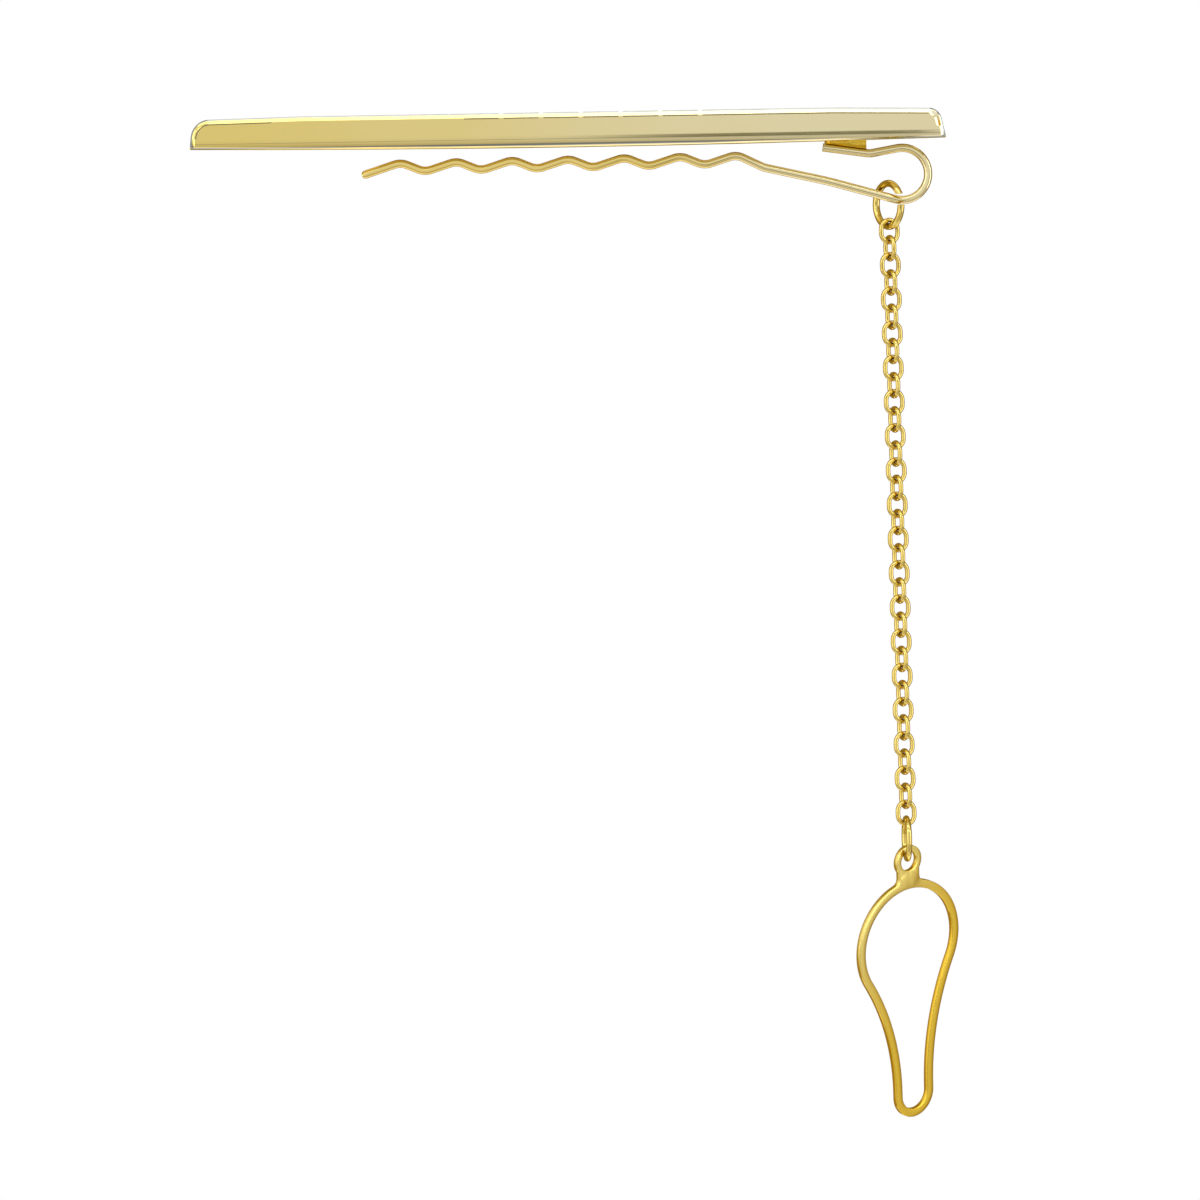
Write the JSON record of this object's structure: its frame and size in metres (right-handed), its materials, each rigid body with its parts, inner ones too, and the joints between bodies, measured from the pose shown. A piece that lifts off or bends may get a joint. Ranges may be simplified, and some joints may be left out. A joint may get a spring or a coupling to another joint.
{
  "type": "tie tack",
  "caption": "Gold tie clip: a slim hollow bar with a wavy clip spring behind it, and a fine chain that ends in a stamped loop for a shirt button.",
  "frame": {"origin": "middle of the bar's back, where the tie is gripped", "axes": "+X along the bar towards the spring's bend, +Z out through the polished front, and the chain hangs along -Z"},
  "size_m": [0.057, 0.0111, 0.0763],
  "materials": {
    "bar_gold": "polished",
    "spring_gold": "polished",
    "chain_gold": "polished",
    "solder": "satin"
  },
  "bodies": {
    "bar": {"bar_shell": "bar_gold", "back_plate": "bar_gold", "foot_solder": "solder", "spring_foot": "spring_gold"},
    "spring_arm": {"spring_arm": "spring_gold"},
    "jump_ring": {"jump_ring": "chain_gold"},
    "chain_link_01": {"chain_link_01": "chain_gold"},
    "chain_link_02": {"chain_link_02": "chain_gold"},
    "chain_link_03": {"chain_link_03": "chain_gold"},
    "chain_link_04": {"chain_link_04": "chain_gold"},
    "chain_link_05": {"chain_link_05": "chain_gold"},
    "chain_link_06": {"chain_link_06": "chain_gold"},
    "chain_link_07": {"chain_link_07": "chain_gold"},
    "chain_link_08": {"chain_link_08": "chain_gold"},
    "chain_link_09": {"chain_link_09": "chain_gold"},
    "chain_link_10": {"chain_link_10": "chain_gold"},
    "chain_link_11": {"chain_link_11": "chain_gold"},
    "chain_link_12": {"chain_link_12": "chain_gold"},
    "chain_link_13": {"chain_link_13": "chain_gold"},
    "chain_link_14": {"chain_link_14": "chain_gold"},
    "chain_link_15": {"chain_link_15": "chain_gold"},
    "chain_link_16": {"chain_link_16": "chain_gold"},
    "chain_link_17": {"chain_link_17": "chain_gold"},
    "chain_link_18": {"chain_link_18": "chain_gold"},
    "chain_link_19": {"chain_link_19": "chain_gold"},
    "chain_link_20": {"chain_link_20": "chain_gold"},
    "chain_link_21": {"chain_link_21": "chain_gold"},
    "chain_link_22": {"chain_link_22": "chain_gold"},
    "chain_link_23": {"chain_link_23": "chain_gold"},
    "chain_link_24": {"chain_link_24": "chain_gold"},
    "chain_link_25": {"chain_link_25": "chain_gold"},
    "chain_link_26": {"chain_link_26": "chain_gold"},
    "chain_link_27": {"chain_link_27": "chain_gold"},
    "chain_link_28": {"chain_link_28": "chain_gold"},
    "chain_link_29": {"chain_link_29": "chain_gold"},
    "chain_link_30": {"chain_link_30": "chain_gold"},
    "chain_link_31": {"chain_link_31": "chain_gold"},
    "chain_link_32": {"chain_link_32": "chain_gold"},
    "chain_link_33": {"chain_link_33": "chain_gold"},
    "chain_link_34": {"chain_link_34": "chain_gold"},
    "chain_link_35": {"chain_link_35": "chain_gold"},
    "drop_ring": {"drop_ring": "chain_gold"},
    "button_loop": {"button_loop": "chain_gold"}
  },
  "joints": [
    {"name": "spring_opens", "type": "hinge", "parent": "bar", "child": "spring_arm", "pos_m": [0.02699, 0, -0.00379], "axis": [0, -1, 0], "range_deg": [-0.5, 8], "stiffness_Nm_per_rad": 0.08},
    {"name": "ring_swings", "type": "hinge", "parent": "spring_arm", "child": "jump_ring", "pos_m": [0.02402, 0, -0.0045], "axis": [0.9617, 0, -0.274], "range_deg": [-60, 60]},
    {"name": "link_01_swings", "type": "hinge", "parent": "jump_ring", "child": "chain_link_01", "pos_m": [0.02412, 0, -0.00639], "axis": [0.5664, -0.8241, 0.0068], "range_deg": [-60, 60]},
    {"name": "link_02_swings", "type": "hinge", "parent": "chain_link_01", "child": "chain_link_02", "pos_m": [0.02413, 0, -0.00759], "axis": [0.8909, 0.454, 0.0107], "range_deg": [-60, 60]},
    {"name": "link_03_swings", "type": "hinge", "parent": "chain_link_02", "child": "chain_link_03", "pos_m": [0.02415, 0, -0.00888], "axis": [-0.454, 0.891, -0.0055], "range_deg": [-60, 60]},
    {"name": "link_04_swings", "type": "hinge", "parent": "chain_link_03", "child": "chain_link_04", "pos_m": [0.02417, 0, -0.01017], "axis": [-0.8909, -0.454, -0.0107], "range_deg": [-60, 60]},
    {"name": "link_05_swings", "type": "hinge", "parent": "chain_link_04", "child": "chain_link_05", "pos_m": [0.02418, 0, -0.01146], "axis": [0.454, -0.891, 0.0055], "range_deg": [-60, 60]},
    {"name": "link_06_swings", "type": "hinge", "parent": "chain_link_05", "child": "chain_link_06", "pos_m": [0.0242, 0, -0.01275], "axis": [0.8909, 0.454, 0.0107], "range_deg": [-60, 60]},
    {"name": "link_07_swings", "type": "hinge", "parent": "chain_link_06", "child": "chain_link_07", "pos_m": [0.02421, 0, -0.01405], "axis": [-0.454, 0.891, -0.0055], "range_deg": [-60, 60]},
    {"name": "link_08_swings", "type": "hinge", "parent": "chain_link_07", "child": "chain_link_08", "pos_m": [0.02423, 0, -0.01534], "axis": [-0.8909, -0.454, -0.0107], "range_deg": [-60, 60]},
    {"name": "link_09_swings", "type": "hinge", "parent": "chain_link_08", "child": "chain_link_09", "pos_m": [0.02424, 0, -0.01663], "axis": [0.454, -0.891, 0.0055], "range_deg": [-60, 60]},
    {"name": "link_10_swings", "type": "hinge", "parent": "chain_link_09", "child": "chain_link_10", "pos_m": [0.02426, 0, -0.01792], "axis": [0.8909, 0.454, 0.0107], "range_deg": [-60, 60]},
    {"name": "link_11_swings", "type": "hinge", "parent": "chain_link_10", "child": "chain_link_11", "pos_m": [0.02427, 0, -0.01921], "axis": [-0.454, 0.891, -0.0055], "range_deg": [-60, 60]},
    {"name": "link_12_swings", "type": "hinge", "parent": "chain_link_11", "child": "chain_link_12", "pos_m": [0.02429, 0, -0.0205], "axis": [-0.8909, -0.454, -0.0107], "range_deg": [-60, 60]},
    {"name": "link_13_swings", "type": "hinge", "parent": "chain_link_12", "child": "chain_link_13", "pos_m": [0.0243, 0, -0.02179], "axis": [0.454, -0.891, 0.0055], "range_deg": [-60, 60]},
    {"name": "link_14_swings", "type": "hinge", "parent": "chain_link_13", "child": "chain_link_14", "pos_m": [0.02432, 0, -0.02308], "axis": [0.8909, 0.454, 0.0107], "range_deg": [-60, 60]},
    {"name": "link_15_swings", "type": "hinge", "parent": "chain_link_14", "child": "chain_link_15", "pos_m": [0.02434, 0, -0.02437], "axis": [-0.454, 0.891, -0.0055], "range_deg": [-60, 60]},
    {"name": "link_16_swings", "type": "hinge", "parent": "chain_link_15", "child": "chain_link_16", "pos_m": [0.02435, 0, -0.02566], "axis": [-0.8909, -0.454, -0.0107], "range_deg": [-60, 60]},
    {"name": "link_17_swings", "type": "hinge", "parent": "chain_link_16", "child": "chain_link_17", "pos_m": [0.02437, 0, -0.02695], "axis": [0.454, -0.891, 0.0055], "range_deg": [-60, 60]},
    {"name": "link_18_swings", "type": "hinge", "parent": "chain_link_17", "child": "chain_link_18", "pos_m": [0.02438, 0, -0.02825], "axis": [0.8909, 0.454, 0.0107], "range_deg": [-60, 60]},
    {"name": "link_19_swings", "type": "hinge", "parent": "chain_link_18", "child": "chain_link_19", "pos_m": [0.0244, 0, -0.02954], "axis": [-0.454, 0.891, -0.0055], "range_deg": [-60, 60]},
    {"name": "link_20_swings", "type": "hinge", "parent": "chain_link_19", "child": "chain_link_20", "pos_m": [0.02441, 0, -0.03083], "axis": [-0.8909, -0.454, -0.0107], "range_deg": [-60, 60]},
    {"name": "link_21_swings", "type": "hinge", "parent": "chain_link_20", "child": "chain_link_21", "pos_m": [0.02443, 0, -0.03212], "axis": [0.454, -0.891, 0.0055], "range_deg": [-60, 60]},
    {"name": "link_22_swings", "type": "hinge", "parent": "chain_link_21", "child": "chain_link_22", "pos_m": [0.02444, 0, -0.03341], "axis": [0.8909, 0.454, 0.0107], "range_deg": [-60, 60]},
    {"name": "link_23_swings", "type": "hinge", "parent": "chain_link_22", "child": "chain_link_23", "pos_m": [0.02446, 0, -0.0347], "axis": [-0.454, 0.891, -0.0055], "range_deg": [-60, 60]},
    {"name": "link_24_swings", "type": "hinge", "parent": "chain_link_23", "child": "chain_link_24", "pos_m": [0.02448, 0, -0.03599], "axis": [-0.8909, -0.454, -0.0107], "range_deg": [-60, 60]},
    {"name": "link_25_swings", "type": "hinge", "parent": "chain_link_24", "child": "chain_link_25", "pos_m": [0.02449, 0, -0.03728], "axis": [0.454, -0.891, 0.0055], "range_deg": [-60, 60]},
    {"name": "link_26_swings", "type": "hinge", "parent": "chain_link_25", "child": "chain_link_26", "pos_m": [0.02451, 0, -0.03857], "axis": [0.8909, 0.454, 0.0107], "range_deg": [-60, 60]},
    {"name": "link_27_swings", "type": "hinge", "parent": "chain_link_26", "child": "chain_link_27", "pos_m": [0.02452, 0, -0.03986], "axis": [-0.454, 0.891, -0.0055], "range_deg": [-60, 60]},
    {"name": "link_28_swings", "type": "hinge", "parent": "chain_link_27", "child": "chain_link_28", "pos_m": [0.02454, 0, -0.04115], "axis": [-0.8909, -0.454, -0.0107], "range_deg": [-60, 60]},
    {"name": "link_29_swings", "type": "hinge", "parent": "chain_link_28", "child": "chain_link_29", "pos_m": [0.02455, 0, -0.04245], "axis": [0.454, -0.891, 0.0055], "range_deg": [-60, 60]},
    {"name": "link_30_swings", "type": "hinge", "parent": "chain_link_29", "child": "chain_link_30", "pos_m": [0.02457, 0, -0.04374], "axis": [0.8909, 0.454, 0.0107], "range_deg": [-60, 60]},
    {"name": "link_31_swings", "type": "hinge", "parent": "chain_link_30", "child": "chain_link_31", "pos_m": [0.02458, 0, -0.04503], "axis": [-0.454, 0.891, -0.0055], "range_deg": [-60, 60]},
    {"name": "link_32_swings", "type": "hinge", "parent": "chain_link_31", "child": "chain_link_32", "pos_m": [0.0246, 0, -0.04632], "axis": [-0.8909, -0.454, -0.0107], "range_deg": [-60, 60]},
    {"name": "link_33_swings", "type": "hinge", "parent": "chain_link_32", "child": "chain_link_33", "pos_m": [0.02462, 0, -0.04761], "axis": [0.454, -0.891, 0.0055], "range_deg": [-60, 60]},
    {"name": "link_34_swings", "type": "hinge", "parent": "chain_link_33", "child": "chain_link_34", "pos_m": [0.02463, 0, -0.0489], "axis": [0.8909, 0.454, 0.0107], "range_deg": [-60, 60]},
    {"name": "link_35_swings", "type": "hinge", "parent": "chain_link_34", "child": "chain_link_35", "pos_m": [0.02465, 0, -0.05019], "axis": [-0.454, 0.891, -0.0055], "range_deg": [-60, 60]},
    {"name": "drop_ring_swings", "type": "hinge", "parent": "chain_link_35", "child": "drop_ring", "pos_m": [0.02466, 0, -0.05148], "axis": [0.8909, 0.454, 0.0107], "range_deg": [-60, 60]},
    {"name": "loop_swings", "type": "hinge", "parent": "drop_ring", "child": "button_loop", "pos_m": [0.02469, 0, -0.0541], "axis": [0.1045, -0.9945, 0.0013], "range_deg": [-60, 60]}
  ]
}
